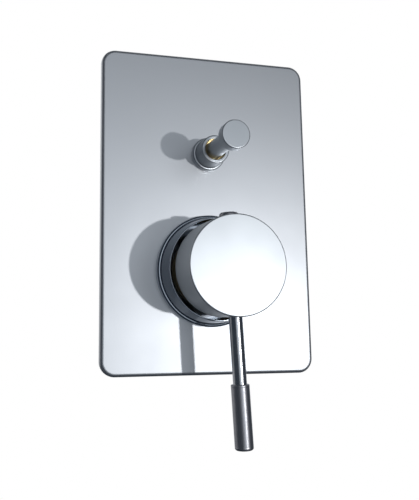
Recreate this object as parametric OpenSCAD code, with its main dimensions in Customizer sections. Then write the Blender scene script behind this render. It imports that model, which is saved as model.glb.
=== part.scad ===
// Concealed single-lever bath and shower mixer with a pull diverter.
// X runs to the right, Y into the wall and Z up. The origin is the middle of the body's four
// fixing holes, on the back of the ears, level with the middle of the face plate.
// Inside the modules, heights run outward from the face of the finished wall along each piece's axis.

/* [Face plate] */
// Width of the face plate
plate_w = 135; // [125:1:150]
// Height of the face plate
plate_h = 200; // [190:1:220]
// Depth of the face plate, from the wall to its front
plate_t = 5; // [4.5:0.5:7]
// Corner radius of the face plate
plate_corner = 9; // [6:0.5:20]
// Roll of the face plate's front edge
plate_roll = 2.2; // [1.5:0.1:3]
// Wall of the pressed face plate
plate_wall = 1.5; // [1.2:0.1:1.8]

/* [Mixer handle] */
// Height of the mixer's axis from the middle of the plate
mixer_z = -37.5; // [-45:0.5:-35]
// Radius of the handle cap
cap_r = 28.2; // [28:0.1:28.6]
// Distance from the wall to the front of the cap
cap_front = 54.5; // [53:0.5:58]
// Distance from the wall to the rear edge of the cap
cap_rear = 27.6; // [27.4:0.1:28.5]
// Radius of the bell collar on the plate
bell_base_r = 34; // [33.5:0.1:36]
// Radius of the bell collar at its front rim
bell_front_r = 30.6; // [30.4:0.1:31.5]
// Length of the bell collar
bell_len = 18.5; // [17:0.5:18.5]

/* [Lever] */
// Distance from the wall to the lever's line
lever_out = 43.8; // [43.5:0.1:44.5]
// Turn of the handle at rest, from straight down towards the right
lever_turn = 2.7; // [-10:0.1:10]
// Radius of the lever rod
rod_r = 3.8; // [3.7:0.05:4.1]
// Distance from the handle's axis to the grip's shoulder
grip_start = 64.4; // [55:0.1:75]
// Distance from the handle's axis to the lever's end
lever_end = 98.8; // [90:0.1:120]
// Radius of the grip
grip_r = 5.1; // [4.9:0.05:6]

/* [Diverter] */
// Height of the diverter's axis from the middle of the plate
diverter_z = 35.5; // [34:0.5:40]
// Radius of the diverter collar on the plate
collar_base_r = 10.4; // [10.2:0.1:12]
// Length of the diverter collar
collar_len = 16; // [15:0.5:16.5]
// Radius of the knob's neck
neck_r = 5.3; // [5.2:0.05:5.4]
// Radius of the knob's head
head_r = 8.4; // [8:0.1:11]
// Thickness of the knob's head
head_t = 6.6; // [5:0.1:8]
// Distance from the wall to the front of the knob, pushed in
knob_front = 55; // [53:0.5:60]
// Travel of the knob from pushed in to pulled out
knob_travel = 8; // [6:0.5:8]

/* [Brass body] */
// Depth of the ears' backs behind the face of the finished wall
ear_back = 34; // [32:1:36]
// Distance from the body's middle to the mouth of each inlet
inlet_x = 50; // [48:1:55]
// Height of the shower outlet's mouth
shower_z = 82; // [80:1:90]
// Depth of the bath outlet's mouth below the middle of the plate
bath_z = -91; // [-100:1:-90]
// Radius of the G1/2 thread bore in each port
port_r = 9.3; // [9.3:0.1:9.5]
// Depth of the thread in each port
port_depth = 14; // [12:1:15]
// Spacing of the fixing holes across
fixing_w = 44; // [42:1:46]
// Spacing of the fixing holes up and down
fixing_h = 132; // [130:1:134]

/* [Hidden] */
$fn = 96;
e = 0.02;

// Heights along the mixer's axis
bell_front = plate_t + bell_len;
pivot_out = 25;
stem_tilt = 10;
stem_half = 3.95;
stem_reach = 22.5;
ball_arm = 13;
ball_r = 3;
ball_up = ball_arm*sin(stem_tilt);
seat_out = -8;
base_top = -4;
fixed_top = -0.5;
moving_top = 3;
carrier_top = 6.9;
carrier_boss_top = 13.6;
turret_foot = 7.6;
turret_step = 20;
turret_top = 29.5;
shell_shoulder = 9;
shell_top = 22;
nut_hex_from = 14.5;
nut_top = 20;
barrel_mouth = 14;

// Radii round the mixer's axis
cap_skirt = 2.5;
cap_cavity_top = 49.5;
hub_r = 9.5;
radial_boss_r = 6.5;
shell_r = 17.5;
neck_out_r = 13.5;
turret_r = 11.8;
turret_top_r = 10.4;
barrel_r = 23;
barrel_bore_r = 17.6;
mouth_r = 20;
nut_r = 19.9;
nut_flats = 36;
port_drop = 4;
port_side = 6;
mixed_up = 6;
stud_r = 3;
plug_r = 5.4;
plug_sink = 0.6;

// Heights along the diverter's axis
bonnet_foot = -10;
body_face = -4;
bonnet_hex_top = 1.5;
bonnet_guide_top = 6;
bonnet_top = 16;
knob_foot = 8;
spindle_top = 13.9;
spindle_step = -9;
front_seat = -26;
cage_foot = -40;
washer_t = 3.5;
flange_t = 1.5;
chamber_end = -55;
screw_head_t = 2.2;
collar_lip_from = 16.5;

// Radii round the diverter's axis
bonnet_r = 11.45;
bonnet_flats = 27;
bonnet_tube_r = 7.5;
guide_r = 4.05;
spindle_r = 4;
spindle_rear_r = 3;
washer_r = 7.5;
seat_r = 5.5;
cage_r = 11.4;
cage_bore_r = 9;
cage_hole_r = 11.5;
gallery_r = 13.4;
diverter_barrel_r = 16;
spring_r = 5.3;
spring_wire = 0.9;

// Depths of the water ways behind the wall
inlet_depth = 20;
riser_depth = 33;
shower_depth = 18;
bath_way_depth = 46;
bath_depth = 42;
way_r = 5;
arm_r = 9.5;
port_out_r = 13;
hex_flats = 27.5;

// Points of an arc about c, for a profile's rounded edge
function arc(c, r, from, to, n = 6) =
    [for (i = [0:n]) c + r*[cos(from + (to - from)*i/n), sin(from + (to - from)*i/n)]];

// Circumradius of a hexagon from its width across flats
function across(flats) = flats/2/cos(30);

// Children start at a depth behind the face of the finished wall, in the row's own axes
module behind_wall(depth, z) {
    translate([0, depth - ear_back, z]) children();
}

// Children stand on the wall with their height pointing into the room
module outward(z) {
    behind_wall(0, z) rotate([90, 0, 0]) children();
}

// Children stand on the mixer's axis and turn with the handle
module on_handle() {
    outward(mixer_z) rotate(lever_turn) children();
}

// Children point along the lever, from the handle's axis down
module along_lever() {
    on_handle() translate([0, 0, lever_out]) rotate([90, 0, 0]) children();
}

// Children point along the stem, from its pivot outward
module along_stem() {
    on_handle() translate([0, 0, pivot_out]) rotate([stem_tilt, 0, 0]) children();
}

// Cylinder between two heights
module rod(r, from, to, fn = $fn) {
    translate([0, 0, from]) cylinder(r = r, h = to - from, $fn = fn);
}

// Ring between two heights
module ring(r_out, r_in, from, to) {
    difference() {
        rod(r_out, from, to);
        rod(r_in, from - 1, to + 1);
    }
}

// Round seal ring lying at a height
module o_ring(r, section, at) {
    rotate_extrude() translate([r, at]) circle(r = section, $fn = 32);
}

// Hexagon between two heights
module hexagon(flats, from, to) {
    rod(across(flats), from, to, fn = 6);
}

// Rounded rectangle, w wide and h tall
module rounded_rect(w, h, r) {
    union() {
        square([w - 2*r, h], center = true);
        square([w, h - 2*r], center = true);
        for (x = [-1, 1], y = [-1, 1])
            translate([x*(w/2 - r), y*(h/2 - r)]) circle(r = r);
    }
}

// Slab with rounded corners and a rolled front edge, from height 0 to t
module rolled_slab(w, h, r, roll, t) {
    cx = w/2 - r;
    cy = h/2 - r;
    linear_extrude(t - roll) rounded_rect(w, h, r);
    linear_extrude(t) rounded_rect(w - 2*roll, h - 2*roll, r - roll);
    for (x = [-1, 1], y = [-1, 1]) translate([x*cx, y*cy, t - roll])
        rotate_extrude() {
            translate([r - roll, 0]) circle(r = roll, $fn = 48);
            translate([0, -roll]) square([r - roll, 2*roll]);
        }
    for (x = [-1, 1]) translate([x*(w/2 - roll), 0, t - roll])
        rotate([90, 0, 0]) cylinder(r = roll, h = 2*cy, center = true);
    for (y = [-1, 1]) translate([0, y*(h/2 - roll), t - roll])
        rotate([0, 90, 0]) cylinder(r = roll, h = 2*cx, center = true);
}

// Pressed face plate, a shallow tray with one hole for each spindle
module face_plate() {
    color("silver") outward(0) difference() {
        rolled_slab(plate_w, plate_h, plate_corner, plate_roll, plate_t);
        translate([0, 0, -1]) linear_extrude(1 + plate_t - plate_wall)
            rounded_rect(plate_w - 2*plate_wall, plate_h - 2*plate_wall, plate_corner - plate_wall);
        translate([0, mixer_z, 0]) rod(barrel_r + 0.3, -1, plate_t + 1);
        translate([0, diverter_z, 0]) rod(bonnet_tube_r + 0.3, -1, plate_t + 1);
    }
}

// Foam seal that lies inside the plate's rim and meets the wall
module plate_seal() {
    gap = 0.2;
    band = 7;
    edge = plate_wall + gap;
    color("dimgray") outward(0) linear_extrude(plate_t - plate_wall) difference() {
        rounded_rect(plate_w - 2*edge, plate_h - 2*edge, plate_corner - edge);
        rounded_rect(plate_w - 2*(edge + band), plate_h - 2*(edge + band), 3);
    }
}

// Bell-shaped collar round the cartridge barrel, open at the front so that the cap can dip into it
module bell_collar() {
    rim_h = 3.6;
    shoulder_r = 1.3;
    wall = 1.3;
    front_wall = 0.8;
    flange_top = plate_t + 3.2;
    bore = barrel_r + 0.15;
    groove = 1.9;
    cone_from = plate_t + rim_h + shoulder_r;
    color("#3a4450") outward(mixer_z) rotate_extrude() polygon(concat(
        [[bore, plate_t], [bell_base_r - 0.3, plate_t], [bell_base_r, plate_t + 0.3]],
        arc([bell_base_r - shoulder_r, plate_t + rim_h], shoulder_r, 0, 90),
        [[bell_base_r - shoulder_r - 0.2, cone_from]],
        arc([bell_front_r - 0.4, bell_front - 0.4], 0.4, 0, 90, 4),
        [[bell_front_r - front_wall + 0.2, bell_front], [bell_front_r - front_wall, bell_front - 0.2],
         [bell_base_r - shoulder_r - wall, flange_top + 1.4],
         [bell_base_r - shoulder_r - wall - 1.4, flange_top],
         [bore, flange_top], [bore, flange_top - 0.6], [bore + groove, flange_top - 0.6],
         [bore + groove, flange_top - 2.3], [bore, flange_top - 2.3]]));
}

// Rubber ring that seals the bell collar on the barrel
module bell_o_ring() {
    color("#202020") outward(mixer_z) o_ring(barrel_r + 1.05, 0.8, plate_t + 1.75);
}

// Cast handle cap: a skirt, a thick front and a hub bored for the stem, the lever and its grub screw
module handle_cap() {
    edge = 0.7;
    stem_gap = 0.1;
    hub_from = 35.5;
    socket_end = 24.2;
    socket_w = 2*(stem_half + stem_gap);
    color("#b8bec4") difference() {
        union() {
            on_handle() rotate_extrude() polygon(concat(
                [[0, cap_cavity_top], [0, cap_front], [cap_r - edge, cap_front]],
                arc([cap_r - edge, cap_front - edge], edge, 75, 0, 5),
                [[cap_r, cap_rear + 0.3], [cap_r - 0.3, cap_rear], [cap_r - cap_skirt, cap_rear],
                 [cap_r - cap_skirt, cap_cavity_top - 2], [cap_r - cap_skirt - 2, cap_cavity_top]]));
            on_handle() rod(hub_r, hub_from, cap_cavity_top + 1);
            along_lever() rod(radial_boss_r, -(cap_r - 1.6), cap_r - 1.6);
        }
        along_stem() translate([0, 0, socket_end/2])
            cube([socket_w, socket_w, socket_end], center = true);
        along_lever() {
            rod(rod_r + 0.03, 17, cap_r + 5);
            rod(stud_r + 0.03, 5, 18);
            rod(stud_r + 0.03, -18, 1);
            rod(rod_r + 0.05, -cap_r - 5, -17);
            rod(plug_r + 0.05, -cap_r - 5, -cap_r + plug_sink);
        }
    }
}

// Turned lever rod: a stud for the hub, the rod itself and a spigot for the grip
module lever_rod() {
    grip_bore = 26;
    color("#c8ccd0") along_lever() {
        rod(stud_r, 9, 17.6);
        rod(rod_r, 17.4, grip_start + 2);
        rod(stud_r, grip_start + 1.8, grip_start + grip_bore);
    }
}

// Grip sleeve on the end of the rod, with rounded ends
module lever_grip() {
    top_edge = 0.6;
    end_edge = 1.5;
    grip_bore = 26.5;
    color("#9aa0a6") along_lever() difference() {
        rotate_extrude() polygon(concat(
            [[0, grip_start]], arc([grip_r - top_edge, grip_start + top_edge], top_edge, -90, 0, 4),
            arc([grip_r - end_edge, lever_end - end_edge], end_edge, 0, 90),
            [[0, lever_end]]));
        rod(rod_r + 0.02, grip_start - 1, grip_start + 2.02);
        rod(stud_r + 0.02, grip_start, grip_start + grip_bore);
    }
}

// Domed plug over the grub screw's hole, opposite the lever
module screw_plug() {
    rise = 1.9;
    shank = 4;
    color("#9aa0a6") along_lever() mirror([0, 0, 1]) rotate_extrude() polygon(concat(
        [[0, cap_r - shank], [rod_r - 0.1, cap_r - shank], [rod_r, cap_r - shank + 0.3],
         [rod_r, cap_r - plug_sink], [plug_r, cap_r - plug_sink]],
        arc([plug_r - 1.3, cap_r + rise - 1.5], 1.3, 0, 80, 6),
        [[2, cap_r + rise], [0, cap_r + rise + 0.06]]));
}

// Grub screw that clamps the cap on the stem
module handle_grub_screw() {
    tip = 1.15;
    length = 12;
    socket = 3;
    color("dimgray") along_lever() mirror([0, 0, 1]) difference() {
        union() {
            rod(stud_r, tip + 0.8, tip + length);
            translate([0, 0, tip]) cylinder(r1 = stud_r - 0.8, r2 = stud_r, h = 0.8);
        }
        hexagon(socket, tip + length - 2.5, tip + length + 1);
    }
}

// Moulded outer shell of the cartridge
module cartridge_shell() {
    wall = 1.6;
    color("#e8e6dc") outward(mixer_z) rotate_extrude() polygon([
        [shell_r, base_top], [shell_r, shell_shoulder - 0.4], [shell_r - 0.4, shell_shoulder],
        [neck_out_r, shell_shoulder], [neck_out_r, shell_top - 0.4], [neck_out_r - 0.4, shell_top],
        [turret_top_r + 0.3, shell_top], [turret_top_r + 0.3, turret_step + 0.3],
        [turret_r + 0.3, turret_step + 0.3], [turret_r + 0.3, shell_shoulder - wall - 0.2],
        [shell_r - wall, shell_shoulder - wall - 0.2], [shell_r - wall, base_top]]);
}

// Turning part of the cartridge: it holds the stem's pivot pin and drives the disc carrier
module cartridge_turret() {
    slot_x = 4.1;
    slot_y = 5.7;
    boss_slot_x = 5.2;
    boss_slot_y = 8.3;
    leg_x = 8.3;
    color("#d8d2b8") on_handle() difference() {
        union() {
            rod(turret_r, turret_foot, turret_step);
            rod(turret_top_r, turret_step - 1, turret_top);
            intersection() {
                rod(turret_r, moving_top + 0.3, turret_foot + 1);
                for (x = [-1, 1]) translate([x*(leg_x + 2.5), 0, turret_foot])
                    cube([5, 14, 10], center = true);
            }
        }
        translate([-slot_x, -slot_y, 0]) cube([2*slot_x, 2*slot_y, turret_top + 1]);
        translate([-boss_slot_x, -boss_slot_y, 0]) cube([2*boss_slot_x, 2*boss_slot_y, 14.2]);
        translate([0, 0, pivot_out]) rotate([0, 90, 0]) rod(1.52, -turret_r, turret_r);
    }
}

// Pin that the stem tilts on
module pivot_pin() {
    color("#c8ccd0") on_handle() translate([0, 0, pivot_out])
        rotate([0, 90, 0]) rod(1.5, -9.8, 9.8);
}

// Square stem with a ball end, tilted down in the closed position
module stem_lever() {
    square_foot = 4;
    arm_end = ball_arm - 1;
    color("#c9a45c") along_stem() difference() {
        union() {
            translate([-stem_half, -stem_half, -square_foot])
                cube([2*stem_half, 2*stem_half, stem_reach + square_foot]);
            rod(2.6, -arm_end, -square_foot + 0.5);
            translate([0, 0, -ball_arm]) sphere(r = ball_r, $fn = 48);
        }
        rotate([0, 90, 0]) rod(1.56, -10, 10);
    }
}

// Slider that turns with the turret and carries the moving disc
module disc_carrier() {
    half_w = 8;
    boss_r = 4.9;
    pocket_r = 3.25;
    pocket_floor = 8.5;
    peg_r = 1.5;
    color("#4a6fa5") on_handle() translate([0, ball_up, 0]) difference() {
        union() {
            intersection() {
                rod(10.2, moving_top, carrier_top);
                translate([-half_w, -8.6, moving_top]) cube([2*half_w, 17.2, 10]);
            }
            rod(boss_r, moving_top, carrier_boss_top);
            for (y = [-1, 1]) translate([0, y*7, 0]) rod(peg_r, moving_top - 1.2, moving_top + 1);
        }
        rod(pocket_r, pocket_floor, carrier_boss_top + 1);
    }
}

// Upper ceramic disc, with the mixing pocket on its underside
module moving_disc() {
    disc_r = 12.4;
    color("#f4f2ea") on_handle() translate([0, ball_up, 0]) difference() {
        rod(disc_r, fixed_top, moving_top);
        translate([0, 1.5, 0]) rod(5.5, fixed_top - 1, fixed_top + 2);
        for (y = [-1, 1]) translate([0, y*7, 0]) rod(1.55, moving_top - 1.25, moving_top + 1);
    }
}

// The three water ways of the cartridge, between two heights
module cartridge_ways(side_r, mixed_r, from, to) {
    for (x = [-1, 1]) translate([x*port_side, -port_drop, 0]) rod(side_r, from, to);
    translate([0, mixed_up, 0]) rod(mixed_r, from, to);
}

// Lower ceramic disc with the two inlets and the outlet
module fixed_disc() {
    color("#f4f2ea") outward(mixer_z) difference() {
        rod(14.4, base_top, fixed_top);
        cartridge_ways(2.6, 3.2, base_top - 1, fixed_top + 1);
    }
}

// Moulded base of the cartridge
module cartridge_base() {
    color("#e8e6dc") outward(mixer_z) difference() {
        rod(17.3, seat_out, base_top);
        cartridge_ways(2.6, 3.2, seat_out - 1, base_top + 1);
        cartridge_ways(4, 4.6, seat_out - 1, seat_out + 1.8);
    }
}

// The three rubber seals under the cartridge base
module port_seals() {
    color("#202020") outward(mixer_z) difference() {
        cartridge_ways(3.95, 4.55, seat_out, seat_out + 1.8);
        cartridge_ways(2.7, 3.3, seat_out - 1, seat_out + 3);
    }
}

// Ring nut that holds the cartridge in the barrel
module cartridge_nut() {
    color("#c9a45c") outward(mixer_z) difference() {
        union() {
            rod(nut_r, shell_shoulder, nut_hex_from + e);
            hexagon(nut_flats, nut_hex_from, nut_top);
        }
        rod(neck_out_r + 0.2, shell_shoulder - 1, nut_top + 1);
    }
}

// Collar of the diverter: screwed on the bonnet, it holds the plate and guides the knob
module diverter_collar() {
    waist_r = 8.3;
    bead_r = 8.75;
    rim = plate_t + collar_len;
    rim_h = 3;
    color("#aab0b6") outward(diverter_z) rotate_extrude() polygon(concat(
        [[bonnet_tube_r + 0.05, plate_t], [collar_base_r - 0.2, plate_t],
         [collar_base_r, plate_t + 0.2]],
        arc([collar_base_r - 0.8, plate_t + rim_h], 0.8, 0, 90, 4),
        [[waist_r, rim - 2.6]],
        arc([bead_r - 0.9, rim - 0.95], 0.9, -60, 80, 8),
        [[neck_r + 1.5, rim], [neck_r + 1.3, rim - 0.2], [neck_r + 1.3, collar_lip_from],
         [bonnet_tube_r + 0.05, collar_lip_from]]));
}

// Pull knob of the diverter: a flanged head on a long neck
module diverter_knob() {
    edge = 0.5;
    head_from = knob_front - head_t;
    thread_top = 24.5;
    color("#b8bec4") outward(diverter_z) difference() {
        rotate_extrude() polygon(concat(
            [[0, knob_foot], [neck_r - 0.3, knob_foot], [neck_r, knob_foot + 0.3],
             [neck_r, head_from - 0.6], [neck_r + 0.6, head_from]],
            arc([head_r - edge, head_from + edge], edge, -90, 0, 4),
            arc([head_r - edge, knob_front - edge], edge, 0, 75, 4),
            [[head_r - edge - 0.3, knob_front], [0, knob_front]]));
        rod(spindle_r + 0.1, knob_foot - 1, spindle_top + 0.2);
        rod(stud_r + 0.03, knob_foot, thread_top);
    }
}

// Spindle of the diverter, with a flange in front of each washer
module diverter_spindle() {
    front_flange = front_seat + washer_t;
    rear_flange = cage_foot - knob_travel;
    rear_end = rear_flange - washer_t;
    color("#c9a45c") outward(diverter_z) difference() {
        union() {
            rod(stud_r, spindle_top - e, 24);
            rod(spindle_r, spindle_step, spindle_top);
            rod(spindle_rear_r, rear_end + 0.3, spindle_step + e);
            rod(7, front_flange, front_flange + flange_t);
            rod(seat_r - 0.5, rear_flange, rear_flange + 1);
        }
        rod(1.7, rear_end - 1, rear_end + 7);
    }
}

// Brass bonnet: it closes the diverter's barrel, guides the spindle and carries the collar
module diverter_bonnet() {
    spring_well_top = -4.5;
    color("#c9a45c") outward(diverter_z) difference() {
        union() {
            rod(bonnet_r, bonnet_foot, body_face + e);
            hexagon(bonnet_flats, body_face, bonnet_hex_top);
            rod(bonnet_tube_r, bonnet_hex_top - e, bonnet_top);
        }
        rod(guide_r, bonnet_foot - 1, bonnet_top);
        rod(spring_r + 1.2, bonnet_foot - 1, spring_well_top);
        rod(neck_r + 0.3, bonnet_guide_top, bonnet_top + 1);
        for (h = [-1.2, 2.8]) rod(guide_r + 1.55, h - 0.95, h + 0.95);
    }
}

// Two rubber rings that seal the spindle in the bonnet
module spindle_o_rings() {
    color("#202020") outward(diverter_z) for (h = [-1.2, 2.8])
        o_ring(guide_r + 0.8, 0.75, h);
}

// Spring that pushes the spindle in, a round wire swept along a helix with flat ends
module diverter_spring() {
    top = -4.6;
    foot = front_seat + washer_t + flange_t + 0.1;
    turns = 5;
    steps = 18;
    sides = 8;
    rings = turns*steps;
    rise = top - foot - spring_wire;
    ring_points = [for (i = [0:rings]) let (a = 360*i/steps, z = foot + spring_wire/2 + rise*i/rings)
        for (k = [0:sides - 1]) let (b = 360*k/sides, r = spring_r + spring_wire/2*cos(b))
            [r*cos(a), r*sin(a), z + spring_wire/2*sin(b)]];
    sides_faces = [for (i = [0:rings - 1], k = [0:sides - 1]) let (n = (k + 1) % sides)
        [i*sides + k, i*sides + n, (i + 1)*sides + n, (i + 1)*sides + k]];
    start_cap = [[for (k = [sides - 1:-1:0]) k]];
    end_cap = [[for (k = [0:sides - 1]) rings*sides + k]];
    color("#d0d4d8") outward(diverter_z)
        polyhedron(points = ring_points, faces = concat(sides_faces, start_cap, end_cap));
}

// Cage with the two valve seats and the windows that let the water in and out
module diverter_cage() {
    window_w = 9;
    color("#d8d2b8") outward(diverter_z) difference() {
        rod(cage_r, cage_foot, bonnet_foot);
        rod(cage_bore_r, front_seat, bonnet_foot + 1);
        rod(cage_bore_r, cage_foot + 2, front_seat - 2);
        rod(seat_r, cage_foot - 1, bonnet_foot);
        for (a = [0, 90]) rotate(a) {
            translate([0, 0, -18]) cube([window_w, 30, 10], center = true);
            translate([0, 0, -33]) cube([window_w, 30, 6], center = true);
        }
        for (h = [-11.6, -27, -39]) ring(cage_r + 1, cage_r - 1.35, h - 0.9, h + 0.9);
    }
}

// Three rubber rings that part the cage's chambers
module cage_o_rings() {
    color("#202020") outward(diverter_z) for (h = [-11.6, -27, -39])
        o_ring(cage_r - 0.66, 0.68, h);
}

// Rubber washer that closes the shower way while the knob is in
module front_washer() {
    color("#303030") outward(diverter_z)
        ring(washer_r, spindle_rear_r + 0.02, front_seat, front_seat + washer_t);
}

// Rubber washer that closes the bath way when the knob is pulled
module rear_washer() {
    front = cage_foot - knob_travel;
    color("#303030") outward(diverter_z)
        ring(washer_r, spindle_rear_r + 0.02, front - washer_t, front);
}

// Screw that holds the rear washer on the spindle
module washer_screw() {
    under_head = cage_foot - knob_travel - washer_t;
    color("dimgray") outward(diverter_z) difference() {
        union() {
            rod(4.5, under_head - screw_head_t, under_head);
            rod(1.65, under_head - e, under_head + 6.5);
        }
        translate([0, 0, under_head - screw_head_t]) cube([0.9, 7, 1.6], center = true);
    }
}

// Outside of one arm with its hexagon port, from the body's middle to the mouth
module port_arm(mouth) {
    port_from = mouth - port_depth - 3;
    neck_from = port_from - 6;
    edge = 0.6;
    rotate_extrude() polygon([[0, 0], [arm_r, 0], [arm_r, neck_from], [port_out_r, port_from],
        [port_out_r, mouth - edge], [port_out_r - edge, mouth], [0, mouth]]);
    intersection() {
        hexagon(hex_flats, port_from + 1, mouth - 4);
        rod(across(hex_flats) - 0.7, port_from, mouth);
    }
}

// Bore of one port: the threaded mouth with its lead-in, and the way behind it
module port_bore(mouth, way_from, r) {
    lead = 1.2;
    rotate_extrude() polygon([[0, way_from], [r, way_from], [r, mouth - port_depth - 1],
        [port_r - 1, mouth - port_depth - 1], [port_r, mouth - port_depth],
        [port_r, mouth - lead], [port_r + lead, mouth], [port_r + lead, mouth + 1], [0, mouth + 1]]);
}

// Places a child with its height along the left (-1) or right (1) inlet
module at_inlet(side) {
    behind_wall(inlet_depth, mixer_z - port_drop) rotate([0, side*90, 0]) children();
}

// Bar with a fixing ear on each side, at a height z, joined to the arm over a depth of web
module fixing_ears(z, web) {
    ear_r = 7;
    ear_t = 6;
    difference() {
        union() {
            behind_wall(ear_back, z) rotate([90, 0, 0]) linear_extrude(ear_t) union() {
                square([fixing_w, 2*ear_r], center = true);
                for (x = [-1, 1]) translate([x*fixing_w/2, 0]) circle(r = ear_r);
            }
            behind_wall(web[0], z) translate([-ear_r, 0, -ear_r])
                cube([2*ear_r, web[1] - web[0], 2*ear_r]);
        }
        for (x = [-1, 1]) translate([x*fixing_w/2, 0, z]) rotate([90, 0, 0])
            rod(2.75, -1, ear_t + 1);
    }
}

// Cast brass body: cartridge barrel, diverter barrel, riser, bath way, four ports and fixing ears
module valve_body() {
    barrel_back = -35;
    diverter_back = -59;
    spine_r = 9.5;
    bath_r = 9.5;
    bath_arm = 30;
    web_t = 8;
    fixing_z = fixing_h/2;
    color("#b08d4a") difference() {
        union() {
            outward(mixer_z) rotate_extrude() polygon([[0, barrel_back], [barrel_r - 6, barrel_back],
                [barrel_r, barrel_back + 5], [barrel_r, barrel_mouth - 0.5],
                [barrel_r - 0.5, barrel_mouth], [0, barrel_mouth]]);
            outward(diverter_z) rotate_extrude() polygon([[0, diverter_back],
                [diverter_barrel_r - 3, diverter_back], [diverter_barrel_r, diverter_back + 3],
                [diverter_barrel_r, body_face], [0, body_face]]);
            behind_wall(riser_depth, mixer_z) rod(spine_r, 0, diverter_z - mixer_z);
            behind_wall(bath_way_depth, 0) rod(bath_r, bath_z + 22, diverter_z);
            behind_wall(riser_depth, bath_z + 30)
                translate([-web_t/2, 0, 0]) cube([web_t, bath_way_depth - riser_depth, 100]);
            for (side = [-1, 1]) at_inlet(side) port_arm(inlet_x);
            behind_wall(shower_depth, diverter_z) port_arm(shower_z - diverter_z);
            behind_wall(bath_depth, bath_z + bath_arm) rotate([180, 0, 0]) port_arm(bath_arm);
            fixing_ears(fixing_z, [shower_depth, ear_back]);
            fixing_ears(-fixing_z, [ear_back - 6, bath_depth]);
        }
        outward(mixer_z) {
            rod(barrel_bore_r, seat_out, barrel_mouth + 1);
            rod(mouth_r, shell_shoulder - 0.4, barrel_mouth + 1);
            for (x = [-1, 1]) translate([x*port_side, -port_drop, 0])
                rod(2.6, -inlet_depth, seat_out + 1);
            translate([0, mixed_up, 0]) rod(3.2, -riser_depth, seat_out + 1);
        }
        for (side = [-1, 1]) at_inlet(side) port_bore(inlet_x, 3.2, 4.6);
        behind_wall(riser_depth, mixer_z + mixed_up) rod(4.2, -1.5, diverter_z - mixer_z - mixed_up);
        outward(diverter_z) {
            rod(cage_hole_r, chamber_end, body_face + 1);
            rod(gallery_r, -24, -12.7);
            rod(gallery_r, -37, -29.5);
        }
        behind_wall(shower_depth, diverter_z) port_bore(shower_z - diverter_z, 0, way_r);
        behind_wall(bath_way_depth, 0) rod(5.5, bath_z + port_depth - 1, diverter_z);
        behind_wall(bath_depth, 0) rotate([180, 0, 0]) port_bore(-bath_z, -bath_z - port_depth - 1, 5);
    }
}

face_plate();
plate_seal();
bell_collar();
bell_o_ring();
handle_cap();
lever_rod();
lever_grip();
screw_plug();
handle_grub_screw();
cartridge_shell();
cartridge_turret();
pivot_pin();
stem_lever();
disc_carrier();
moving_disc();
fixed_disc();
cartridge_base();
port_seals();
cartridge_nut();
diverter_collar();
diverter_knob();
diverter_spindle();
diverter_bonnet();
spindle_o_rings();
diverter_spring();
diverter_cage();
cage_o_rings();
front_washer();
rear_washer();
washer_screw();
valve_body();
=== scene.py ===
import math

import bmesh
import bpy
from mathutils import Matrix, Vector
from mathutils.geometry import tessellate_polygon


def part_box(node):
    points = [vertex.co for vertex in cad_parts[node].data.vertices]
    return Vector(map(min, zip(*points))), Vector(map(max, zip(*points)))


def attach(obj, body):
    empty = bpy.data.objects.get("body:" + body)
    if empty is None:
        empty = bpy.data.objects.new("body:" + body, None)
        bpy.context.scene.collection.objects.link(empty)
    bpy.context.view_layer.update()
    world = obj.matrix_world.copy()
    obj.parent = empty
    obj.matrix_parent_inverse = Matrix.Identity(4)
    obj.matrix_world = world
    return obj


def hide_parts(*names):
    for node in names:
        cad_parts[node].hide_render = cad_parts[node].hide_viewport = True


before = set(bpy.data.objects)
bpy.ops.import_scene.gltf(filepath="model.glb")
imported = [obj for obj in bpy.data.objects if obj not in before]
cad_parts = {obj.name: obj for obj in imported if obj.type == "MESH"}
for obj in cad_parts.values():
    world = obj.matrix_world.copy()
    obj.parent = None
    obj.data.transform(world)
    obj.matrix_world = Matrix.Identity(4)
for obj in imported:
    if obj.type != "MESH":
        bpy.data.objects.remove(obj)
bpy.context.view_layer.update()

bl_info = {
    "name": "Concealed mixer tap",
    "version": (1, 0, 0),
    "blender": (4, 5, 0),
    "location": "View3D > Sidebar > Mixer tap",
    "description": "Dresses a concealed bath and shower mixer in its finished pieces and lights it",
    "category": "Object",
}


# Sizes and colours

def length(name, description, default):
    """A size in metres that a user may change."""
    return bpy.props.FloatProperty(name=name, description=description, default=default,
                                   min=0.0, precision=5, unit="LENGTH", subtype="DISTANCE")


def colour(name, description, default):
    """A colour that a user may change, as linear red, green and blue."""
    return bpy.props.FloatVectorProperty(name=name, description=description, default=default,
                                         size=3, min=0.0, max=1.0, subtype="COLOR")


def box_centre_z(node):
    """Height of the middle of a CAD node."""
    low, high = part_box(node)
    return (low[2] + high[2]) / 2


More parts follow.
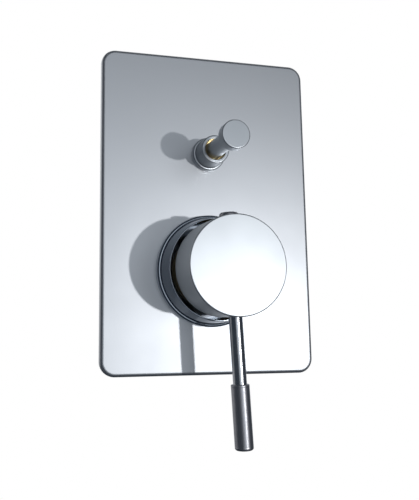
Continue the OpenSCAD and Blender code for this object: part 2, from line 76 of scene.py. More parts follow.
class TapSizes(bpy.types.PropertyGroup):
    wall_y: length("Ear back to wall", "Depth of the ears behind the face of the finished wall", 0.034)
    plate_corner: length("Plate corner", "Corner radius of the face plate", 0.009)
    plate_roll: length("Plate roll", "Roll of the face plate's front edge", 0.0022)
    plate_wall: length("Plate wall", "Wall of the pressed face plate", 0.0015)
    plate_depth: length("Plate depth", "Depth of the face plate from the wall", 0.005)
    cap_radius: length("Cap radius", "Radius of the handle cap", 0.0282)
    cap_front: length("Cap front", "Distance from the wall to the front of the cap", 0.0545)
    cap_rear: length("Cap rear", "Distance from the wall to the rear edge of the cap", 0.0276)
    bell_base: length("Bell base", "Radius of the bell collar on the plate", 0.034)
    bell_front: length("Bell front", "Radius of the bell collar at its front rim", 0.0306)
    bell_length: length("Bell length", "Length of the bell collar", 0.0185)
    lever_out: length("Lever line", "Distance from the wall to the lever's line", 0.0438)
    rod_radius: length("Rod radius", "Radius of the lever rod", 0.0038)
    grip_start: length("Grip start", "Distance from the handle's axis to the grip", 0.0644)
    lever_end: length("Lever end", "Distance from the handle's axis to the lever's end", 0.0988)
    grip_radius: length("Grip radius", "Radius of the grip", 0.0051)
    collar_base: length("Collar base", "Radius of the diverter collar on the plate", 0.0104)
    collar_length: length("Collar length", "Length of the diverter collar", 0.016)
    neck_radius: length("Knob neck", "Radius of the pull knob's neck", 0.0053)
    head_radius: length("Knob head", "Radius of the pull knob's head", 0.0084)
    head_thickness: length("Head thickness", "Thickness of the pull knob's head", 0.0066)
    knob_front: length("Knob front", "Distance from the wall to the knob's front", 0.055)
    port_radius: length("Port thread", "Radius of the threaded bore in each port", 0.0093)
    port_depth: length("Port depth", "Depth of the thread in each port", 0.014)


class TapColours(bpy.types.PropertyGroup):
    chrome: colour("Satin chrome", "Satin chrome of the plate", (0.60, 0.62, 0.65))
    cap: colour("Cap chrome", "Satin chrome of the handle cap and the knob", (0.56, 0.59, 0.62))
    # The bell's chrome is its own colour darkened and blued: partly painted reflection of the dim navy
    # studio.
    bell: colour("Bell chrome", "Polished chrome of the bell collar", (0.46, 0.50, 0.56))
    rod: colour("Rod chrome", "Polished chrome of the lever rod", (0.60, 0.61, 0.64))
    grip: colour("Grip steel", "Satin steel of the grip", (0.50, 0.50, 0.53))
    steel: colour("Screw steel", "Stainless steel of screws, pin and spring", (0.50, 0.50, 0.49))
    brass: colour("Turned brass", "Bright turned brass", (0.80, 0.60, 0.30))
    cast: colour("Cast brass", "Skin of the sand-cast brass body", (0.52, 0.38, 0.18))
    rubber: colour("Rubber", "Black rubber of seals and washers", (0.018, 0.018, 0.019))
    plastic: colour("Shell plastic", "Off-white plastic of the cartridge's shell", (0.78, 0.76, 0.70))
    turret: colour("Turret plastic", "Cream plastic of the turret and the cage", (0.66, 0.60, 0.44))
    carrier: colour("Carrier plastic", "Blue plastic of the disc carrier", (0.07, 0.16, 0.38))
    ceramic: colour("Ceramic", "White ceramic of the two discs", (0.86, 0.84, 0.80))
    foam: colour("Foam", "Grey foam of the plate's seal", (0.10, 0.10, 0.105))


class TapStage(bpy.types.PropertyGroup):
    camera_at: bpy.props.FloatVectorProperty(
        name="Camera", description="Place of the camera", size=3, unit="LENGTH",
        subtype="TRANSLATION", default=(-0.1324853, -0.4191063, -0.0667097))
    camera_yaw: bpy.props.FloatProperty(
        name="Yaw", description="Turn of the camera to the right", unit="ROTATION",
        subtype="ANGLE", default=0.2452)
    camera_pitch: bpy.props.FloatProperty(
        name="Pitch", description="Tilt of the camera upwards", unit="ROTATION",
        subtype="ANGLE", default=0.1512)
    camera_roll: bpy.props.FloatProperty(
        name="Roll", description="Roll of the camera", unit="ROTATION",
        subtype="ANGLE", default=-0.0038)
    key_power: bpy.props.FloatProperty(
        name="Key power", description="Power of the small key lamp", unit="POWER", default=9.0)
    studio: colour("Studio shade", "Dim shade of the studio that metal mirrors", (0.026, 0.036, 0.050))
    floor: colour("Floor", "Pale floor far below the tap", (0.86, 0.87, 0.88))


# Places

def sizes():
    return bpy.context.scene.tap_sizes


def colours():
    return bpy.context.scene.tap_colours


def outward(height):
    """Frame on the wall, with its own height pointing into the room."""
    return Matrix(((1, 0, 0, 0), (0, 0, -1, -sizes().wall_y), (0, 1, 0, height), (0, 0, 0, 1)))


LEVER_TURN = math.radians(2.7)
MIXER_Z = box_centre_z("bell_collar")
DIVERTER_Z = box_centre_z("diverter_collar")


def on_handle():
    """Frame on the mixer's axis, turned with the handle."""
    return outward(MIXER_Z) @ Matrix.Rotation(LEVER_TURN, 4, "Z")


def along_lever():
    """Frame on the lever's line, with its height running from the handle's axis down."""
    return (on_handle() @ Matrix.Translation((0, 0, sizes().lever_out))
            @ Matrix.Rotation(math.pi / 2, 4, "X"))


# Meshes

def rounded(points, support=0.00012):
    """Outline with each corner (radius, height, fillet, steps) rounded, and a support point
    just beyond each end of a fillet, which keeps the straight parts flat in the light."""
    outline = []
    count = len(points)
    for i, (r, h, fillet, steps) in enumerate(points):
        here = Vector((r, h))
        if fillet <= 0:
            outline.append(here)
            continue
        before = Vector(points[i - 1][:2])
        after = Vector(points[(i + 1) % count][:2])
        back = (before - here).normalized()
        on = (after - here).normalized()
        half = back.angle(on) / 2
        reach = fillet / math.tan(half)
        centre = here + (back + on).normalized() * (fillet / math.sin(half))
        start = here + back * reach
        end = here + on * reach
        if (before - start).length > 3 * support:
            outline.append(start + back * support)
        a, b = start - centre, end - centre
        swing = a.angle_signed(b)
        for k in range(steps + 1):
            spin = Matrix.Rotation(-swing * k / steps, 2)
            outline.append(centre + spin @ a)
        if (after - end).length > 3 * support:
            outline.append(end + on * support)
    return [(max(p.x, 0.0), p.y) for p in outline]


def finish_mesh(name, bm, sharp=30.0, merge=1e-7):
    """New object from a bmesh: doubles merged, faces pointing out, smooth up to an angle."""
    bmesh.ops.remove_doubles(bm, verts=bm.verts, dist=merge)
    bmesh.ops.recalc_face_normals(bm, faces=bm.faces)
    mesh = bpy.data.meshes.new(name)
    bm.to_mesh(mesh)
    bm.free()
    piece = bpy.data.objects.new(name, mesh)
    bpy.context.scene.collection.objects.link(piece)
    smooth(piece, sharp)
    return piece


def smooth(piece, sharp=30.0):
    mesh = piece.data
    mesh.polygons.foreach_set("use_smooth", [True] * len(mesh.polygons))
    mesh.set_sharp_from_angle(angle=math.radians(sharp))
    mesh.update()


def turned(name, outline, place, segments=192, sharp=30.0):
    """Piece turned from a closed outline of (radius, height) round the place's own axis."""
    bm = bmesh.new()
    rings = []
    for r, h in outline:
        if r < 1e-7:
            rings.append([bm.verts.new(place @ Vector((0, 0, h)))])
            continue
        ring = []
        for k in range(segments):
            a = 2 * math.pi * k / segments
            ring.append(bm.verts.new(place @ Vector((r * math.cos(a), r * math.sin(a), h))))
        rings.append(ring)
    for one, two in zip(rings, rings[1:] + rings[:1]):
        if len(one) == 1 and len(two) == 1:
            continue
        for k in range(segments):
            n = (k + 1) % segments
            if len(one) == 1:
                bm.faces.new((one[0], two[n], two[k]))
            elif len(two) == 1:
                bm.faces.new((one[k], one[n], two[0]))
            else:
                bm.faces.new((one[k], one[n], two[n], two[k]))
    return finish_mesh(name, bm, sharp)


def solid_cut(piece, cutters, operation="DIFFERENCE", sharp=30.0):
    """Cut the cutters out of a piece, or join them on, and drop them."""
    for cutter in cutters:
        tool = piece.modifiers.new("cut", "BOOLEAN")
        tool.operation = operation
        tool.solver = "EXACT"
        tool.object = cutter
        graph = bpy.context.evaluated_depsgraph_get()
        mesh = bpy.data.meshes.new_from_object(piece.evaluated_get(graph))
        piece.modifiers.remove(tool)
        old = piece.data
        piece.data = mesh
        bpy.data.meshes.remove(old)
        drop(cutter)
    smooth(piece, sharp)
    return piece


def drop(thing):
    mesh = thing.data
    bpy.data.objects.remove(thing)
    bpy.data.meshes.remove(mesh)


def bar(name, place, radius, low, high, segments=96):
    """Plain round cutter."""
    return turned(name, [(0, low), (radius, low), (radius, high), (0, high)], place, segments)


def block(name, place, size, centre):
    """Plain square cutter."""
    bm = bmesh.new()
    bmesh.ops.create_cube(bm, size=1.0, matrix=place @ Matrix.Translation(centre)
                          @ Matrix.Diagonal((*size, 1.0)))
    return finish_mesh(name, bm)


def dress(piece, material, body, nodes):
    """Gives the piece its material and body, and hides the CAD nodes that it stands for."""
    piece.data.materials.clear()
    piece.data.materials.append(material)
    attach(piece, body)
    if nodes:
        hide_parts(*nodes)


# Materials

def new_material(name, colour_value, metallic=0.0, roughness=0.4):
    """Material with one principled shader, its constants set on the shader itself."""
    material = bpy.data.materials.new(name)
    material.use_nodes = True
    material.diffuse_color = (*colour_value, 1.0)
    shader = material.node_tree.nodes["Principled BSDF"]
    shader.inputs["Base Color"].default_value = (*colour_value, 1.0)
    shader.inputs["Metallic"].default_value = metallic
    shader.inputs["Roughness"].default_value = roughness
    return material, shader


def add_node(material, kind, **inputs):
    node = material.node_tree.nodes.new(kind)
    for socket, value in inputs.items():
        node.inputs[socket.replace("_", " ")].default_value = value
    return node


def link(material, out_socket, in_socket):
    material.node_tree.links.new(out_socket, in_socket)


def object_position(material, scale=(1, 1, 1), turn=(0, 0, 0), at=(0, 0, 0)):
    """Position on the object, moved, turned and scaled for a pattern."""
    source = add_node(material, "ShaderNodeTexCoord")
    place = add_node(material, "ShaderNodeMapping")
    place.vector_type = "TEXTURE"
    place.inputs["Location"].default_value = at
    place.inputs["Rotation"].default_value = turn
    place.inputs["Scale"].default_value = scale
    link(material, source.outputs["Object"], place.inputs["Vector"])
    return place.outputs["Vector"]


def noise(material, position, scale, detail=3.0, rough=0.5):
    node = add_node(material, "ShaderNodeTexNoise", Scale=scale, Detail=detail, Roughness=rough)
    link(material, position, node.inputs["Vector"])
    return node.outputs["Fac"]


def spread(material, factor, low, high, from_low=0.3, from_high=0.7):
    """Factor spread between two values."""
    node = add_node(material, "ShaderNodeMapRange", From_Min=from_low, From_Max=from_high,
                    To_Min=low, To_Max=high)
    link(material, factor, node.inputs["Value"])
    return node.outputs["Result"]


def tint(material, factor, low, high):
    """Colour between two, by a factor."""
    ramp = add_node(material, "ShaderNodeValToRGB")
    ramp.color_ramp.elements[0].position = 0.3
    ramp.color_ramp.elements[1].position = 0.7
    ramp.color_ramp.elements[0].color = (*low, 1.0)
    ramp.color_ramp.elements[1].color = (*high, 1.0)
    link(material, factor, ramp.inputs["Fac"])
    return ramp.outputs["Color"]


def bump(material, shader, height, distance, strength=1.0):
    node = add_node(material, "ShaderNodeBump", Strength=strength, Distance=distance)
    link(material, height, node.inputs["Height"])
    link(material, node.outputs["Normal"], shader.inputs["Normal"])


def shades(value, spread_by):
    """Two shades of a colour, a little darker and a little lighter."""
    low = tuple(c * (1 - spread_by) for c in value)
    high = tuple(min(c * (1 + spread_by), 1.0) for c in value)
    return low, high


def plated(name, value, roughness, vary=0.03, mottle=0.03, grain=0.0, scale=(1, 1, 1),
           turn=(0, 0, 0), at=(0, 0, 0), grain_scale=900.0):
    """Chrome plating: cloudy roughness, a slight mottle and a fine grain."""
    material, shader = new_material(name, value, 1.0, roughness)
    position = object_position(material)
    cloud = noise(material, position, 38.0, 2.0)
    link(material, spread(material, cloud, roughness - vary, roughness + vary),
         shader.inputs["Roughness"])
    link(material, tint(material, noise(material, position, 14.0, 3.0), *shades(value, mottle)),
         shader.inputs["Base Color"])
    if grain > 0:
        fine = noise(material, object_position(material, scale, turn, at), grain_scale, 2.0)
        bump(material, shader, fine, grain)
    return material


def moulded(name, value, roughness=0.45, grain=0.00002, subsurface=0.0):
    """Moulded plastic: a fine spark-eroded grain and a slight drift in shade."""
    material, shader = new_material(name, value, 0.0, roughness)
    position = object_position(material)
    link(material, tint(material, noise(material, position, 60.0, 2.0), *shades(value, 0.05)),
         shader.inputs["Base Color"])
    link(material, spread(material, noise(material, position, 220.0), roughness - 0.06,
                          roughness + 0.06), shader.inputs["Roughness"])
    bump(material, shader, noise(material, position, 2500.0, 2.0), grain)
    return material


def turned_brass(name, value):
    """Machined brass with the fine rings that a lathe tool leaves, and a slight tarnish."""
    material, shader = new_material(name, value, 1.0, 0.28)
    position = object_position(material)
    link(material, tint(material, noise(material, position, 45.0, 3.0), *shades(value, 0.10)),
         shader.inputs["Base Color"])
    link(material, spread(material, noise(material, position, 130.0, 3.0), 0.22, 0.36),
         shader.inputs["Roughness"])
    rings = object_position(material, (1, 0.02, 1))
    bump(material, shader, noise(material, rings, 60.0, 2.0), 0.00001)
    return material


def cast_brass(name, value):
    """Sand-cast skin: pitted grain, darker and lighter patches and a dull sheen."""
    material, shader = new_material(name, value, 1.0, 0.55)
    position = object_position(material)
    patches = noise(material, position, 28.0, 4.0, 0.6)
    link(material, tint(material, patches, *shades(value, 0.22)), shader.inputs["Base Color"])
    grain = noise(material, position, 900.0, 4.0, 0.65)
    link(material, spread(material, grain, 0.48, 0.66), shader.inputs["Roughness"])
    bump(material, shader, grain, 0.00018)
    return material


def sealing(name, value, roughness=0.6):
    """Soft black rubber with a bloom of dust."""
    material, shader = new_material(name, value, 0.0, roughness)
    position = object_position(material)
    link(material, tint(material, noise(material, position, 90.0, 3.0), value,
                        tuple(c * 1.8 for c in value)), shader.inputs["Base Color"])
    bump(material, shader, noise(material, position, 1800.0, 2.0), 0.00002)
    return material


def foamed(name, value):
    """Closed-cell foam: small cells pressed into the skin."""
    material, shader = new_material(name, value, 0.0, 0.85)
    position = object_position(material)
    cells = add_node(material, "ShaderNodeTexVoronoi", Scale=1400.0)
    link(material, position, cells.inputs["Vector"])
    link(material, tint(material, noise(material, position, 120.0, 3.0), *shades(value, 0.25)),
         shader.inputs["Base Color"])
    bump(material, shader, cells.outputs["Distance"], 0.0003)
    return material


def glazed(name, value):
    """Lapped ceramic: dense, white and faintly speckled."""
    material, shader = new_material(name, value, 0.0, 0.12)
    position = object_position(material)
    link(material, tint(material, noise(material, position, 1500.0, 2.0), *shades(value, 0.02)),
         shader.inputs["Base Color"])
    link(material, spread(material, noise(material, position, 40.0), 0.08, 0.18),
         shader.inputs["Roughness"])
    return material


FINISHES = {}


def make_finishes():
    """All finishes of the tap, by the name of their slot."""
    c = colours()
    FINISHES["plate_chrome"] = plated("plate_chrome", tuple(c.chrome), 0.417, 0.012, 0.012,
                                      0.000002)
    FINISHES["satin_chrome"] = plated("satin_chrome", tuple(c.cap), 0.40, 0.015, 0.012, 0.000003)
    FINISHES["diverter_chrome"] = plated("diverter_chrome", tuple(c.cap), 0.30, 0.02, 0.012)
    # The bell's chrome is darkened and blued beyond its own colour: partly painted reflection of the
    # dim navy studio.
    FINISHES["collar_chrome"] = plated("collar_chrome", tuple(c.bell), 0.10, 0.02, 0.02)
    FINISHES["rod_chrome"] = plated("rod_chrome", tuple(c.rod), 0.22, 0.02, 0.02)
    FINISHES["grip_satin"] = plated("grip_satin", tuple(c.grip), 0.36, 0.03, 0.05, 0.00001,
                                    (1, 1, 0.15), (0, 0, 0), (0, 0, 0), 1400.0)
    FINISHES["steel_screw"] = plated("steel_screw", tuple(c.steel), 0.35, 0.06, 0.08, 0.000006)
    FINISHES["steel_pin"] = plated("steel_pin", tuple(c.steel), 0.22, 0.04, 0.05)
    FINISHES["spring_steel"] = plated("spring_steel", tuple(c.steel), 0.28, 0.05, 0.08)
    FINISHES["turned_brass"] = turned_brass("turned_brass", tuple(c.brass))
    FINISHES["stem_brass"] = turned_brass("stem_brass", tuple(c.brass))
    FINISHES["cast_brass"] = cast_brass("cast_brass", tuple(c.cast))
    FINISHES["seal_rubber"] = sealing("seal_rubber", tuple(c.rubber))
    FINISHES["cartridge_plastic"] = moulded("cartridge_plastic", tuple(c.plastic))
    FINISHES["turret_plastic"] = moulded("turret_plastic", tuple(c.turret), 0.4)
    FINISHES["carrier_plastic"] = moulded("carrier_plastic", tuple(c.carrier), 0.35)
    FINISHES["ceramic"] = glazed("ceramic", tuple(c.ceramic))
    FINISHES["foam"] = foamed("foam", tuple(c.foam))


# Pieces

def plate_ring(width, height, corner, inset, steps=16):
    """Points of the plate's outline, drawn in by an inset, as (x, z)."""
    r = max(corner - inset, 0.0004)
    x, z = width / 2 - inset - r, height / 2 - inset - r
    points = []
    for cx, cz, start in ((x, z, 0), (-x, z, 90), (-x, -z, 180), (x, -z, 270)):
        for k in range(steps + 1):
            a = math.radians(start + 90 * k / steps)
            points.append((cx + r * math.cos(a), cz + r * math.sin(a)))
    return points


class TAP_OT_face_plate(bpy.types.Operator):
    """Press the face plate: a shallow tray with a rolled edge and two holes"""
    bl_idname = "tap.face_plate"
    bl_label = "Face plate"

    def execute(self, context):
        s = sizes()
        low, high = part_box("face_plate")
        width, height = high[0] - low[0], high[2] - low[2]
        place = outward(0.0)
        roll, wall, depth = s.plate_roll, s.plate_wall, s.plate_depth
        section = [(wall, 0.0), (0.0004, 0.0), (0.0001, 0.0001), (0.0, 0.0004)]
        section += [(0.0, depth - roll - 0.0001)]
        for k in range(11):
            a = math.radians(90 * k / 10)
            section.append((roll * (1 - math.cos(a)), depth - roll + roll * math.sin(a)))
        section.append((roll + 0.00015, depth))
        back = [(wall + 0.00115, depth - wall), (wall + 0.001, depth - wall)]
        for k in range(1, 6):
            a = math.radians(90 * k / 5)
            back.append((wall + 0.001 * (1 - math.sin(a)), depth - wall - 0.001 + 0.001 * math.cos(a)))
        back.append((wall, depth - wall - 0.0011))
        loop = section + back
        bm = bmesh.new()
        rings = []
        for inset, h in loop:
            rings.append([bm.verts.new(place @ Vector((x, z, h)))
                          for x, z in plate_ring(width, height, s.plate_corner, inset)])
        front_ring = rings[len(section) - 1]
        back_ring = rings[len(section)]
        count = len(front_ring)
        for one, two in zip(rings, rings[1:] + rings[:1]):
            if one is front_ring:
                continue
            for k in range(count):
                n = (k + 1) % count
                bm.faces.new((one[k], one[n], two[n], two[k]))
        holes = ((MIXER_Z, 0.0233), (DIVERTER_Z, 0.0078))
        edges = {}
        for level, key in ((depth, "front"), (depth - wall, "back")):
            edges[key] = []
            for at, radius in holes:
                ring = []
                for k in range(96):
                    a = 2 * math.pi * k / 96
                    ring.append(bm.verts.new(place @ Vector((radius * math.cos(a),
                                                             at + radius * math.sin(a), level))))
                edges[key].append(ring)
        for one, two in zip(edges["front"], edges["back"]):
            for k in range(96):
                n = (k + 1) % 96
                bm.faces.new((one[k], one[n], two[n], two[k]))
        for outer, inner in ((front_ring, edges["front"]), (back_ring, edges["back"])):
            loops = [outer, *inner]
            flat = [v for ring in loops for v in ring]
            for face in tessellate_polygon([[(v.co.x, v.co.z, 0) for v in ring] for ring in loops]):
                bm.faces.new([flat[i] for i in face])
        piece = finish_mesh("plate_pressing", bm)
        dress(piece, FINISHES["plate_chrome"], "base", ["face_plate"])
        return {"FINISHED"}


class TAP_OT_bell_collar(bpy.types.Operator):
    """Turn the bell collar with its base rim, cone and front lip"""
    bl_idname = "tap.bell_collar"
    bl_label = "Bell collar"

    def execute(self, context):
        s = sizes()
        base, front = s.bell_base, s.bell_front
        foot, rim = s.plate_depth, s.plate_depth + s.bell_length
        bore = 0.02315
        shoulder = 0.0013
        outline = rounded([
            (bore, foot, 0, 0), (base, foot, 0.0003, 4), (base, foot + 0.0049, shoulder, 14),
            (base - shoulder - 0.0002, foot + 0.0049, 0.00015, 3), (front, rim, 0.0004, 8),
            (front - 0.0008, rim, 0.0002, 5), (base - 0.0026, foot + 0.0046, 0, 0),
            (base - 0.0040, foot + 0.0032, 0, 0), (bore, foot + 0.0032, 0, 0),
            (bore, foot + 0.0026, 0, 0), (bore + 0.0019, foot + 0.0026, 0, 0),
            (bore + 0.0019, foot + 0.0009, 0, 0), (bore, foot + 0.0009, 0, 0)])
        piece = turned("bell_collar_turned", outline, outward(MIXER_Z), 256, 35)
        dress(piece, FINISHES["collar_chrome"], "base", ["bell_collar"])
        return {"FINISHED"}


class TAP_OT_handle_cap(bpy.types.Operator):
    """Make the handle cap: skirt, front, hub and the bores for stem, lever and grub screw"""
    bl_idname = "tap.handle_cap"
    bl_label = "Handle cap"

    def execute(self, context):
        s = sizes()
        r, front, rear = s.cap_radius, s.cap_front, s.cap_rear
        skirt = 0.0025
        top = 0.0495
        outline = rounded([
            (0, front, 0, 0), (r, front, 0.0007, 10), (r, rear, 0.0003, 4),
            (r - skirt, rear, 0.0002, 3), (r - skirt, top, 0.002, 6), (0.0095, top, 0.0005, 4),
            (0.0095, 0.0355, 0.0004, 4), (0, 0.0355, 0, 0)])
        piece = turned("cap_casting", outline, on_handle(), 256)
        lever = along_lever()
        reach = r - 0.0016
        boss = bar("boss", lever, 0.0065, -reach, reach)
        solid_cut(piece, [boss], "UNION")
        tilt = Matrix.Translation((0, 0, 0.025)) @ Matrix.Rotation(math.radians(10), 4, "X")
        stem = on_handle() @ tilt
        cutters = [
            block("stem_socket", stem, (0.0081, 0.0081, 0.0242), (0, 0, 0.0121)),
            bar("rod_bore", lever, s.rod_radius + 0.00003, 0.017, r + 0.005),
            bar("stud_bore", lever, 0.00303, 0.005, 0.018),
            bar("grub_bore", lever, 0.00303, -0.018, 0.001),
            bar("plug_bore", lever, s.rod_radius + 0.00005, -r - 0.005, -0.017),
            bar("plug_seat", lever, 0.00545, -r - 0.005, -r + 0.0006)]
        solid_cut(piece, cutters)
        dress(piece, FINISHES["satin_chrome"], "handle", ["handle_cap"])
        return {"FINISHED"}


class TAP_OT_lever(bpy.types.Operator):
    """Turn the lever: polished rod, satin grip and the plug opposite"""
    bl_idname = "tap.lever"
    bl_label = "Lever"

    def execute(self, context):
        s = sizes()
        lever = along_lever()
        rod, grip = s.rod_radius, s.grip_radius
        start, end = s.grip_start, s.lever_end
        outline = rounded([
            (0, 0.009, 0, 0), (0.003, 0.009, 0.0004, 3), (0.003, 0.0174, 0, 0),
            (rod, 0.0174, 0.0003, 3), (rod, start + 0.002, 0.0002, 3),
            (0.003, start + 0.002, 0, 0), (0.003, start + 0.026, 0.0004, 3),
            (0, start + 0.026, 0, 0)])
        piece = turned("lever_rod_turned", outline, lever, 96)
        dress(piece, FINISHES["rod_chrome"], "handle", ["lever_rod"])

        edge = rounded([(0, end, 0, 0), (grip, end, 0.0013, 8), (grip, start + 0.02, 0, 0)])
        grooves = edge[1:-1]
        pitch, depth = 0.00056, 0.000035
        t = grooves[-1][1] - pitch
        while t > start + 0.0012:
            grooves += [(grip, t), (grip - depth, t - pitch * 0.22), (grip, t - pitch * 0.44)]
            t -= pitch
        mouth = rounded([(grip, start + 0.01, 0, 0), (grip, start, 0.00045, 6),
                         (rod + 0.00002, start, 0.0001, 2), (rod + 0.00002, start + 0.00202, 0, 0)])
        outline = [(0, end)] + grooves + mouth[1:] + [
            (0.00302, start + 0.00202), (0.00302, start + 0.0265), (0, start + 0.0265)]
        piece = turned("lever_grip_turned", outline, lever, 128, 50)
        dress(piece, FINISHES["grip_satin"], "handle", ["lever_grip"])

        up = lever @ Matrix.Rotation(math.pi, 4, "X")
        r = s.cap_radius
        outline = rounded([
            (0, r - 0.004, 0, 0), (rod, r - 0.004, 0.0003, 3), (rod, r - 0.0006, 0, 0),
            (0.0054, r - 0.0006, 0.0001, 2), (0.0054, r + 0.00193, 0.0013, 8),
            (0, r + 0.00196, 0, 0)])
        piece = turned("screw_plug_turned", outline, up, 96)
        dress(piece, FINISHES["grip_satin"], "handle", ["screw_plug"])
        return {"FINISHED"}


class TAP_OT_diverter(bpy.types.Operator):
    """Turn the diverter's collar and its pull knob"""
    bl_idname = "tap.diverter"
    bl_label = "Diverter"

    def execute(self, context):
        s = sizes()
        place = outward(DIVERTER_Z)
        foot, rim = s.plate_depth, s.plate_depth + s.collar_length
        base, neck = s.collar_base, s.neck_radius
        bore, waist, bead = 0.00755, 0.0083, 0.00875
        outline = rounded([
            (bore, foot, 0, 0), (base, foot, 0.0002, 3), (base, foot + 0.0038, 0.0008, 6),
            (waist + 0.0008, foot + 0.0038, 0.0003, 3), (waist, rim - 0.0026, 0.0005, 4),
            (bead, rim - 0.0019, 0.0004, 4), (bead, rim, 0.0007, 8),
            (neck + 0.0013, rim, 0.0003, 4), (neck + 0.0013, 0.0165, 0, 0),
            (bore, 0.0165, 0, 0)])
        piece = turned("diverter_collar_turned", outline, place, 160)
        dress(piece, FINISHES["diverter_chrome"], "base", ["diverter_collar"])

        front = s.knob_front
        head, start = s.head_radius, front - s.head_thickness
        outline = rounded([
            (0, 0.0245, 0, 0), (0.00303, 0.0245, 0, 0), (0.00303, 0.0141, 0, 0),
            (0.0041, 0.0141, 0, 0), (0.0041, 0.008, 0, 0), (neck, 0.008, 0.0003, 3),
            (neck, start, 0.0006, 6), (head, start, 0.0005, 6), (head, front, 0.0006, 8),
            (0, front, 0, 0)])
        piece = turned("diverter_knob_turned", outline, place, 160)
        dress(piece, FINISHES["diverter_chrome"], "diverter", ["diverter_knob"])
        return {"FINISHED"}


class TAP_OT_inner_parts(bpy.types.Operator):
    """Give the parts that stay as the frame has them their finishes"""
    bl_idname = "tap.inner_parts"
    bl_label = "Inner parts"

    def execute(self, context):
        for node, slot in NODE_SLOTS.items():
            piece = bpy.data.objects[node]
            piece.data.materials.clear()
            piece.data.materials.append(FINISHES[slot])
        return {"FINISHED"}


NODE_SLOTS = {
    "plate_seal": "foam", "bell_o_ring": "seal_rubber", "handle_grub_screw": "steel_screw",
    "cartridge_shell": "cartridge_plastic", "cartridge_turret": "turret_plastic",
    "pivot_pin": "steel_pin", "stem_lever": "stem_brass", "disc_carrier": "carrier_plastic",
    "moving_disc": "ceramic", "fixed_disc": "ceramic", "cartridge_base": "cartridge_plastic",
    "port_seals": "seal_rubber", "cartridge_nut": "turned_brass",
    "diverter_spindle": "turned_brass", "diverter_bonnet": "turned_brass",
    "spindle_o_rings": "seal_rubber", "diverter_spring": "spring_steel",
    "diverter_cage": "turret_plastic", "cage_o_rings": "seal_rubber",
    "front_washer": "seal_rubber", "rear_washer": "seal_rubber", "washer_screw": "steel_screw",
    "valve_body": "cast_brass",
}


# Stage

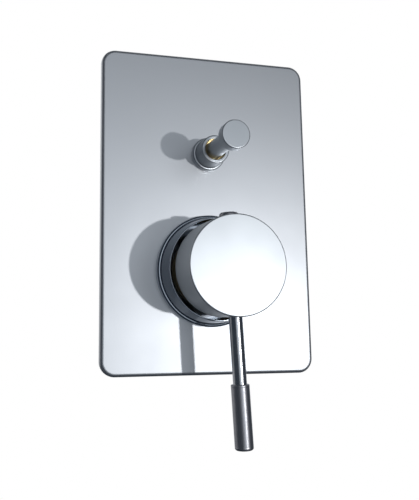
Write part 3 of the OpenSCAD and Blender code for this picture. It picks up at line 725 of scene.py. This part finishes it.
class TAP_OT_stage(bpy.types.Operator):
    """Set the camera, the pale floor, the key lamp and the studio that the metal mirrors"""
    bl_idname = "tap.stage"
    bl_label = "Stage"

    def execute(self, context):
        scene = context.scene
        stage = scene.tap_stage
        scene.view_settings.view_transform = "Standard"
        self.set_camera(scene, stage)
        self.lay_floor(scene, stage)
        self.hang_key(scene, stage)
        self.paint_world(scene, stage)
        return {"FINISHED"}

    def set_camera(self, scene, stage):
        lens = bpy.data.cameras.new("camera")
        lens.sensor_width = 36.0
        lens.lens = 652.2587 / 500 * 36.0
        lens.shift_x = 59.5 / 500
        lens.shift_y = -30.0 / 500
        lens.clip_start = 0.01
        camera = bpy.data.objects.new("camera", lens)
        scene.collection.objects.link(camera)
        ahead = Matrix.Rotation(-stage.camera_yaw, 4, "Z")
        lift = Matrix.Rotation(math.pi / 2 + stage.camera_pitch, 4, "X")
        lean = Matrix.Rotation(stage.camera_roll, 4, "Z")
        camera.matrix_world = Matrix.Translation(stage.camera_at) @ ahead @ lift @ lean
        scene.camera = camera

    def lay_floor(self, scene, stage):
        bm = bmesh.new()
        bmesh.ops.create_circle(bm, cap_ends=True, segments=96, radius=0.8)
        bmesh.ops.translate(bm, verts=bm.verts, vec=(0, 0, -0.46))
        mesh = bpy.data.meshes.new("floor")
        bm.to_mesh(mesh)
        bm.free()
        floor = bpy.data.objects.new("floor", mesh)
        scene.collection.objects.link(floor)
        material, shader = new_material("floor", tuple(stage.floor), 0.0, 0.8)
        floor.data.materials.append(material)
        floor.visible_glossy = False

    def hang_key(self, scene, stage):
        lamp = bpy.data.lights.new("key", "AREA")
        lamp.shape = "DISK"
        lamp.size = 0.055
        lamp.energy = stage.key_power
        lamp.color = (1.0, 1.0, 1.0)
        key = bpy.data.objects.new("key", lamp)
        scene.collection.objects.link(key)
        toward = Vector((0.42, -1.0, -0.057)).normalized()
        key.matrix_world = (Matrix.Translation(toward * 2.2 + Vector((0.02, -0.034, -0.05)))
                            @ toward.to_track_quat("Z", "Y").to_matrix().to_4x4())

    def paint_world(self, scene, stage):
        world = bpy.data.worlds.new("studio")
        scene.world = world
        world.use_nodes = True
        tree = world.node_tree
        tree.nodes.clear()
        add = tree.nodes.new
        out = add("ShaderNodeOutputWorld")
        coord = add("ShaderNodeTexCoord")
        total = None
        for toward, inner, outer, light in STUDIO_PANELS:
            dot = add("ShaderNodeVectorMath")
            dot.operation = "DOT_PRODUCT"
            dot.inputs[1].default_value = Vector(toward).normalized()
            tree.links.new(coord.outputs["Generated"], dot.inputs[0])
            edge = add("ShaderNodeMapRange")
            edge.interpolation_type = "SMOOTHSTEP"
            edge.inputs["From Min"].default_value = math.cos(math.radians(outer))
            edge.inputs["From Max"].default_value = math.cos(math.radians(inner))
            tree.links.new(dot.outputs["Value"], edge.inputs["Value"])
            tone = add("ShaderNodeVectorMath")
            tone.operation = "SCALE"
            tone.inputs[0].default_value = light
            tree.links.new(edge.outputs["Result"], tone.inputs["Scale"])
            if total is None:
                total = tone.outputs["Vector"]
                continue
            mix = add("ShaderNodeVectorMath")
            mix.operation = "ADD"
            tree.links.new(total, mix.inputs[0])
            tree.links.new(tone.outputs["Vector"], mix.inputs[1])
            total = mix.outputs["Vector"]
        base = add("ShaderNodeVectorMath")
        base.operation = "ADD"
        base.inputs[1].default_value = tuple(stage.studio)
        tree.links.new(total, base.inputs[0])
        mirrored = add("ShaderNodeBackground")
        tree.links.new(base.outputs["Vector"], mirrored.inputs["Color"])
        plain = add("ShaderNodeBackground")
        plain.inputs["Color"].default_value = (0.8, 0.8, 0.8, 1)
        white = add("ShaderNodeBackground")
        white.inputs["Color"].default_value = (1, 1, 1, 1)
        path = add("ShaderNodeLightPath")
        glossy = add("ShaderNodeMixShader")
        tree.links.new(path.outputs["Is Glossy Ray"], glossy.inputs[0])
        tree.links.new(plain.outputs[0], glossy.inputs[1])
        tree.links.new(mirrored.outputs[0], glossy.inputs[2])
        seen = add("ShaderNodeMixShader")
        tree.links.new(path.outputs["Is Camera Ray"], seen.inputs[0])
        tree.links.new(glossy.outputs[0], seen.inputs[1])
        tree.links.new(white.outputs[0], seen.inputs[2])
        tree.links.new(seen.outputs[0], out.inputs["Surface"])


# Soft panels round the studio: direction, angle of the full light, angle of its edge, light
STUDIO_PANELS = (
    ((0.10, -1.0, 0.05), 6.0, 34.0, (0.72, 0.76, 0.80)),
    ((0.3, 1.0, 0.5), 25.0, 60.0, (0.8, 0.8, 0.8)),
    ((-0.8, 0.7, 0.3), 10.0, 40.0, (0.5, 0.5, 0.5)),
)


class TAP_PT_panel(bpy.types.Panel):
    bl_label = "Mixer tap"
    bl_idname = "TAP_PT_panel"
    bl_space_type = "VIEW_3D"
    bl_region_type = "UI"
    bl_category = "Mixer tap"

    def draw(self, context):
        layout = self.layout
        scene = context.scene
        for group in (scene.tap_sizes, scene.tap_colours, scene.tap_stage):
            box = layout.box()
            for prop in group.bl_rna.properties:
                if prop.identifier not in ("rna_type", "name"):
                    box.prop(group, prop.identifier)
        for operator in OPERATORS:
            layout.operator(operator.bl_idname)


OPERATORS = (TAP_OT_stage, TAP_OT_face_plate, TAP_OT_bell_collar, TAP_OT_handle_cap, TAP_OT_lever,
             TAP_OT_diverter, TAP_OT_inner_parts)
GROUPS = (TapSizes, TapColours, TapStage)


def register():
    for group in GROUPS + OPERATORS + (TAP_PT_panel,):
        bpy.utils.register_class(group)
    bpy.types.Scene.tap_sizes = bpy.props.PointerProperty(type=TapSizes)
    bpy.types.Scene.tap_colours = bpy.props.PointerProperty(type=TapColours)
    bpy.types.Scene.tap_stage = bpy.props.PointerProperty(type=TapStage)


def unregister():
    del bpy.types.Scene.tap_stage
    del bpy.types.Scene.tap_colours
    del bpy.types.Scene.tap_sizes
    for group in reversed(GROUPS + OPERATORS + (TAP_PT_panel,)):
        bpy.utils.unregister_class(group)


def main():
    register()
    make_finishes()
    bpy.ops.tap.stage()
    bpy.ops.tap.face_plate()
    bpy.ops.tap.bell_collar()
    bpy.ops.tap.handle_cap()
    bpy.ops.tap.lever()
    bpy.ops.tap.diverter()
    bpy.ops.tap.inner_parts()


if __name__ == "__main__":
    main()
